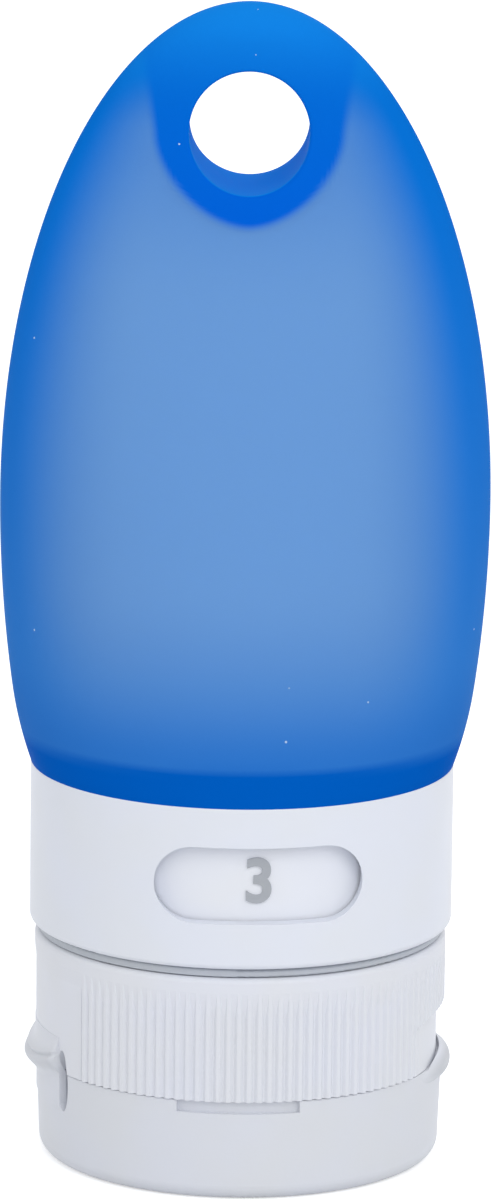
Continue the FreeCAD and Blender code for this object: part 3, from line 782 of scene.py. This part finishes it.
skin_tone = silicone_tone(skin_x, skin_z)
# The pigment attribute holds the silicone's tones with the painted light and shade laid in.
keep_on_skin("pigment", "FLOAT_COLOR", "color", np.column_stack([skin_tone, np.ones_like(skin_x)]))
print("mean tone of the silicone:", skin_tone.mean(axis=0).round(2).tolist())

# %% [markdown]
# ## The silicone's finish
# Coloured silicone is cloudy: part of the light is thrown back by the pigment near the surface, and part
# goes through the wall with its direction blurred, loses its red first, and comes back from the pale
# inside. Subsurface scattering could do that too, but it would blur the edge of the boss. So the finish is
# pigment over rough transmission, with a volume that soaks up light; where the body is solid hardly
# anything comes through. Silicone also draws dust, which shows as pale specks.

# %% Silicone
SILICONE_SOAK = (0.0, 0.607, 0.952)
SILICONE_DENSITY = 420.0
SILICONE_BEND = 1.05
SILICONE_MIRROR = 0.15
SILICONE_ROUGH = (0.45, 0.55)
SILICONE_GRAIN = 0.01 * MM
CLEAR_TONE = (0.85, 0.85, 0.85)
INSIDE_WHITE = (0.93, 0.94, 0.96)
DUST = (0.42, 0.56, 0.8)
DUST_SHARE = 0.45
OUTSIDE_CLOUD = (1.0, 0.7)
INSIDE_CLOUD = 0.92


def silicone_finish(name, cloud_share, tone=None):
    """Pigment, one tone or the skin's own, over rough transmission, round a volume that soaks up red first.

    cloud_share is the pigment's share: one number, or a pair for solid and for pale places."""
    material = bpy.data.materials.new(name)
    material.use_nodes = True
    tree = material.node_tree
    clear = tree.nodes["Principled BSDF"]
    clear.inputs["Base Color"].default_value = (*CLEAR_TONE, 1)
    clear.inputs["Transmission Weight"].default_value = 1.0
    cloud = node_of(tree, "ShaderNodeBsdfPrincipled")
    cloud.inputs["Specular IOR Level"].default_value = SILICONE_MIRROR
    skin = node_of(tree, "ShaderNodeGroup", node_tree=SKIN_GROUP)
    specks = node_of(tree, "ShaderNodeGroup", node_tree=SPECK_GROUP)
    specks.inputs["Share"].default_value = DUST_SHARE
    if tone is None:
        # This attribute holds the pigment with painted light and shade laid in.
        tone = node_of(tree, "ShaderNodeAttribute", attribute_name="pigment").outputs["Color"]
    tree.links.new(mixed_colour(tree, specks.outputs["Mask"], tone, DUST), cloud.inputs["Base Color"])
    gloss = spread_value(tree, skin.outputs["Mottle"], *SILICONE_ROUGH)
    normal = grain_normal(tree, skin.outputs["Grain"], SILICONE_GRAIN)
    for shader in (clear, cloud):
        shader.inputs["IOR"].default_value = SILICONE_BEND
        tree.links.new(gloss, shader.inputs["Roughness"])
        tree.links.new(normal, shader.inputs["Normal"])
    blend = node_of(tree, "ShaderNodeMixShader")
    if isinstance(cloud_share, tuple):
        thin_wall_and_painted_shade = node_of(tree, "ShaderNodeAttribute", attribute_name="paleness")
        tree.links.new(spread_value(tree, thin_wall_and_painted_shade.outputs["Fac"], *cloud_share), blend.inputs["Fac"])
    else:
        blend.inputs["Fac"].default_value = cloud_share
    tree.links.new(clear.outputs["BSDF"], blend.inputs[1])
    tree.links.new(cloud.outputs["BSDF"], blend.inputs[2])
    tree.links.new(blend.outputs["Shader"], tree.nodes["Material Output"].inputs["Surface"])
    soak = node_of(tree, "ShaderNodeVolumeAbsorption")
    soak.inputs["Color"].default_value = (*SILICONE_SOAK, 1)
    soak.inputs["Density"].default_value = SILICONE_DENSITY
    tree.links.new(soak.outputs["Volume"], tree.nodes["Material Output"].inputs["Volume"])
    return material


silicone_body.data.materials.append(silicone_finish("blue_silicone", OUTSIDE_CLOUD))
silicone_body.data.materials.append(silicone_finish("silicone_inside", INSIDE_CLOUD, INSIDE_WHITE))
print("silicone:", ", ".join(material.name for material in silicone_body.data.materials))

# %% [markdown]
# ## Painted shade past the wall
# The thumb lip and the hinge's bulge stand out past the wall of the lid, and they get painted shade: a grey
# that makes them darker than the rest. They could be separate pieces with a grey of their own, but that
# would leave a hard edge. So a mask comes in smoothly with the distance from the neck axis, and a finish
# mixes the grey in by it.

# %% Mask past the wall
# Tone of the painted shade on the lip and the hinge's bulge, and the distances from the neck axis between
# which it comes in.
LIP_PAINTED_SHADE = ((0.57, 0.584, 0.62), 19.03 * MM, 19.65 * MM)
HINGE_PAINTED_SHADE = ((0.645, 0.66, 0.697), 19.2 * MM, 20.0 * MM)


def past_wall_group():
    """0 up to the Near distance from the neck axis, 1 past the Far one, and a smooth S between them."""
    tree, given, result = effect_group("past_wall", {"Near": LIP_PAINTED_SHADE[1], "Far": LIP_PAINTED_SHADE[2]}, ("Mask",))
    place = node_of(tree, "ShaderNodeTexCoord")
    level = node_of(tree, "ShaderNodeVectorMath", operation="MULTIPLY")
    level.inputs[1].default_value = (1, 1, 0)
    reach = node_of(tree, "ShaderNodeVectorMath", operation="LENGTH")
    step = node_of(tree, "ShaderNodeMapRange", interpolation_type="SMOOTHSTEP")
    tree.links.new(place.outputs["Object"], level.inputs[0])
    tree.links.new(level.outputs["Vector"], reach.inputs[0])
    tree.links.new(reach.outputs["Value"], step.inputs["Value"])
    tree.links.new(given.outputs["Near"], step.inputs["From Min"])
    tree.links.new(given.outputs["Far"], step.inputs["From Max"])
    tree.links.new(step.outputs["Result"], result.inputs["Mask"])
    return tree


PAST_WALL_GROUP = past_wall_group()
print("thin places:", PAST_WALL_GROUP.name)

# %% [markdown]
# ## Plastics and rubbers
# The collar is polished and the cap, lid and label ring come satin from the mould, all in a cool white. The
# lid and its hinge get a copy of that white made a shade greyer than the cap, which is painted shade. The
# label ring is a paler white, partly its own and partly painted light against the shade of the window's
# recess. The neck insert is given a grey that is painted shade, so the groove above the cap reads as an even
# grey line. The washer and the valve are soft rubber: duller, with a coarser grain. All are one recipe with
# other values, so one function makes them.

# %% Plastics and rubbers
MOULDED_MIRROR = 0.2
GLOSS_SWING = 0.03
SATIN_ROUGH = 0.42
WARM_SHIFT = (1.0, 0.995, 0.965)
SPECK_GREY = (0.2, 0.2, 0.22)
POLISHED_GRAIN = 0.002 * MM
FINE_GRAIN = 0.004 * MM
SATIN_GRAIN = 0.006 * MM
VALVE_GRAIN = 0.01 * MM
GASKET_GRAIN = 0.015 * MM


def moulded_finish(name, colour, rough, grain=FINE_GRAIN, specks=SPECK_SHARE, thin_wall_and_painted_shade=None):
    """Moulded plastic or rubber: tone and gloss follow the mottle, the normal the grain; specks of dust.

    The last argument is the tone of painted shade for what stands out past the wall, with the distances
    between which it comes in."""
    material = bpy.data.materials.new(name)
    material.use_nodes = True
    tree = material.node_tree
    shader = tree.nodes["Principled BSDF"]
    shader.inputs["Specular IOR Level"].default_value = MOULDED_MIRROR
    skin = node_of(tree, "ShaderNodeGroup", node_tree=SKIN_GROUP)
    warm = tuple(part * shift for part, shift in zip(colour, WARM_SHIFT))
    tone = mixed_colour(tree, skin.outputs["Mottle"], colour, warm)
    # Painted shade: a grey mixed in on what stands out past the wall.
    if thin_wall_and_painted_shade is not None:
        painted_shade_tone, near, far = thin_wall_and_painted_shade
        stand_out = node_of(tree, "ShaderNodeGroup", node_tree=PAST_WALL_GROUP)
        stand_out.inputs["Near"].default_value = near
        stand_out.inputs["Far"].default_value = far
        tone = mixed_colour(tree, stand_out.outputs["Mask"], tone, painted_shade_tone)
    if specks > 0:
        dust = node_of(tree, "ShaderNodeGroup", node_tree=SPECK_GROUP)
        dust.inputs["Share"].default_value = specks
        tone = mixed_colour(tree, dust.outputs["Mask"], tone, SPECK_GREY)
    tree.links.new(tone, shader.inputs["Base Color"])
    gloss = spread_value(tree, skin.outputs["Mottle"], rough - GLOSS_SWING, rough + GLOSS_SWING)
    tree.links.new(gloss, shader.inputs["Roughness"])
    tree.links.new(grain_normal(tree, skin.outputs["Grain"], grain), shader.inputs["Normal"])
    return material


COLLAR_TONE = (0.76, 0.787, 0.865)
CAP_TONE = (0.75, 0.767, 0.83)
# Painted shade: the lid's white is the cap's white made a shade greyer.
LID_PAINTED_SHADE_TONE = (0.705, 0.724, 0.784)
# Partly painted light: the label's white is lifted against the shade of the window's recess.
LABEL_TONE_AND_PAINTED_LIGHT = (0.8, 0.82, 0.885)
# Painted shade: the neck insert's grey stands for the shade in the groove between collar and cap.
NECK_PAINTED_SHADE_TONE = (0.5, 0.53, 0.585)
RETAINER_TONE = (0.68, 0.69, 0.71)
GASKET_TONE = (0.56, 0.57, 0.59)
VALVE_TONE = (0.66, 0.7, 0.74)

FINISH_OF_NODE = {
    "window_collar": moulded_finish("collar_white", COLLAR_TONE, rough=0.36, grain=POLISHED_GRAIN),
    "screw_cap": moulded_finish("cap_white", CAP_TONE, rough=SATIN_ROUGH, grain=SATIN_GRAIN),
    "flip_lid": moulded_finish("lid_white_painted_shade", LID_PAINTED_SHADE_TONE, rough=SATIN_ROUGH, grain=SATIN_GRAIN, thin_wall_and_painted_shade=LIP_PAINTED_SHADE),
    "label_ring": moulded_finish("label_white_and_painted_light", LABEL_TONE_AND_PAINTED_LIGHT, rough=0.4, specks=0),
    "neck_insert": moulded_finish("neck_painted_shade", NECK_PAINTED_SHADE_TONE, rough=0.5),
    "valve_retainer": moulded_finish("retainer_white", RETAINER_TONE, rough=0.45),
    "cap_gasket": moulded_finish("gasket_rubber", GASKET_TONE, rough=0.7, grain=GASKET_GRAIN),
    "slit_valve": moulded_finish("valve_rubber", VALVE_TONE, rough=0.55, grain=VALVE_GRAIN),
}
for node_name, finish in FINISH_OF_NODE.items():
    for material_slot in frame["nodes"][node_name].material_slots:
        material_slot.material = finish
print("finishes:", ", ".join(sorted(material.name for material in bpy.data.materials)))

# %% [markdown]
# ## The living hinge
# Cap and lid come from one mould, joined by a film that is folded outwards into a small bulge. A bent plate
# would show as a block, so the film is drawn as a closed band: its outside rises from the wall of the lid
# into the bulge and falls back to the wall of the cap, and its inside follows more flatly.

# %% Living hinge
STRAP_LOW, STRAP_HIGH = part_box("hinge_strap")
HINGE = next(joint for joint in frame["record"]["behaviour"]["joints"] if joint["name"] == "lid_hinge")
FOLD_HEIGHT = HINGE["pos_m"][2]
STRAP_CROWN = -STRAP_LOW[0]
STRAP_ROOT_RADIUS = 19.0 * MM
STRAP_HALF_ANGLE = math.asin(STRAP_HIGH[1] / STRAP_ROOT_RADIUS)
STRAP_LID_RADIUS = 19.03 * MM
STRAP_CAP_RADIUS = 19.15 * MM
STRAP_BACK_RADIUS = 18.3 * MM
STRAP_ARCH = 0.7 * MM
STRAP_END_ROUND = 0.5 * MM
STRAP_SINK = 0.25 * MM
STRAP_ACROSS = 57
STRAP_UP = 97
BULGE_HALF_HEIGHT = 1.9 * MM
BULGE_END_RISE = 1.4 * MM
FOLD_LINE_DEPTH = 0.42 * MM
FOLD_LINE_WIDTH = 0.24 * MM
FOLD_LINE_RISE = 0.3 * MM


def strap_skin():
    """Band swept round the axis: its radius is the wall's plus a bell in height, less a round at the ends.

    The bell is a squared cosine whose middle rises to the ends with the angle squared. A narrow bell is
    taken away a little above its middle, where the film folds."""
    turn = np.linspace(-STRAP_HALF_ANGLE, STRAP_HALF_ANGLE, STRAP_ACROSS)[:, None]
    height = np.linspace(STRAP_LOW[2] - STRAP_SINK, STRAP_HIGH[2] + STRAP_SINK, STRAP_UP)[None, :]
    off_fold = height - FOLD_HEIGHT - BULGE_END_RISE * (turn / STRAP_HALF_ANGLE) ** 2
    hump = np.cos(np.pi / 2 * np.clip(off_fold / BULGE_HALF_HEIGHT, -1, 1)) ** 2
    fold_line = FOLD_LINE_DEPTH * np.exp(-((off_fold - FOLD_LINE_RISE) / FOLD_LINE_WIDTH) ** 2)
    wall = np.where(height > FOLD_HEIGHT, STRAP_CAP_RADIUS, STRAP_LID_RADIUS)
    end_reach = STRAP_END_ROUND / STRAP_CROWN
    near_end = np.clip((np.abs(turn) - STRAP_HALF_ANGLE + end_reach) / end_reach, 0, 1)
    end_round = STRAP_END_ROUND * (1 - np.sqrt(1 - near_end ** 2))
    outer = wall + (STRAP_CROWN - wall) * hump - end_round * hump - fold_line * hump
    inner = STRAP_BACK_RADIUS + STRAP_ARCH * hump
    radius = np.concatenate([outer, inner[:, ::-1]], axis=1)
    level = np.concatenate([height, height[:, ::-1]], axis=1) + 0 * turn
    band = np.stack([-radius * np.cos(turn), radius * np.sin(turn), level], axis=-1)
    ends = [np.stack([band[row, :STRAP_UP], band[row, :STRAP_UP - 1:-1]]) for row in (0, -1)]
    return band, ends


band, band_ends = strap_skin()
living_hinge = mesh_piece("living_hinge", *join_grids(
    (band, True, 0), (band_ends[0], False, 0), (band_ends[1], False, 0)))
# Painted shade: the hinge has the lid's greyer white and a grey on its bulge.
hinge_white_painted_shade = moulded_finish("hinge_white_painted_shade", LID_PAINTED_SHADE_TONE, rough=SATIN_ROUGH, grain=SATIN_GRAIN, thin_wall_and_painted_shade=HINGE_PAINTED_SHADE)
living_hinge.data.materials.append(hinge_white_painted_shade)
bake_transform(living_hinge)
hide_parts("hinge_strap")

# %% [markdown]
# ## Numbers on the label ring
# The collar is turned until its window shows the mark for what is in the bottle. The marks are plain raised
# numbers, one every sixty degrees, painted a dark grey that is painted shade: it stands for the shade round
# raised white numbers. A flat number would float off the round ring, so each is drawn as text, made a mesh
# and bent: distance across becomes angle, distance up stays height, and thickness becomes radius.

# %% Numbers on the label ring
LABEL_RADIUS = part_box("label_ring")[1][0]
MARK_COUNT = 6
MARK_FIRST = 3
MARK_SIZE = 5.8 * MM
MARK_RAISE = 0.2 * MM
MARK_BOLD = 0.12 * MM
MARK_HEIGHT = 30.23 * MM
MARK_ANGLE = math.radians(5.3)
MARK_CURVE_STEPS = 6
MARK_WELD = 0.001 * MM
# Painted shade: the numbers' grey stands for the shade round raised white numbers.
MARK_PAINTED_SHADE_TONE = (0.4, 0.42, 0.46)


def bent_number(number, turn):
    """Mesh of a raised number on the ring, turned by an angle from the front.

    The angle is the turn plus the distance across over the ring's radius, and the radius is the ring's
    plus the thickness. x is the radius times the angle's sine, y is minus the radius times its cosine."""
    text = bpy.data.curves.new(f"number_{number}", "FONT")
    text.body = str(number)
    text.align_x = "CENTER"
    text.align_y = "CENTER"
    text.size = MARK_SIZE
    text.offset = MARK_BOLD
    text.extrude = MARK_RAISE
    text.resolution_u = MARK_CURVE_STEPS
    holder = bpy.data.objects.new(f"number_{number}", text)
    bpy.context.scene.collection.objects.link(holder)
    mesh = bpy.data.meshes.new_from_object(holder.evaluated_get(bpy.context.evaluated_depsgraph_get()))
    bpy.data.objects.remove(holder)
    flat = np.empty(3 * len(mesh.vertices))
    mesh.vertices.foreach_get("co", flat)
    across, up, out = flat.reshape(-1, 3).T
    radius = LABEL_RADIUS + out
    angle = turn + across / LABEL_RADIUS
    bent = np.stack([radius * np.sin(angle), -radius * np.cos(angle), MARK_HEIGHT + up], axis=-1)
    mesh.vertices.foreach_set("co", bent.reshape(-1))
    return mesh


marks = bmesh.new()
for index in range(MARK_COUNT):
    number = (MARK_FIRST - 1 + index) % MARK_COUNT + 1
    marks.from_mesh(bent_number(number, MARK_ANGLE + 2 * math.pi * index / MARK_COUNT))
bmesh.ops.remove_doubles(marks, verts=marks.verts, dist=MARK_WELD)
bmesh.ops.recalc_face_normals(marks, faces=marks.faces)
mark_mesh = bpy.data.meshes.new("label_numbers")
marks.to_mesh(mark_mesh)
marks.free()
label_numbers = bpy.data.objects.new("label_numbers", mark_mesh)
bpy.context.scene.collection.objects.link(label_numbers)
mark_mesh.materials.append(moulded_finish("mark_painted_shade", MARK_PAINTED_SHADE_TONE, rough=0.45, specks=0))
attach(label_numbers, "bottle")
print("label_numbers:", len(mark_mesh.vertices), "points")
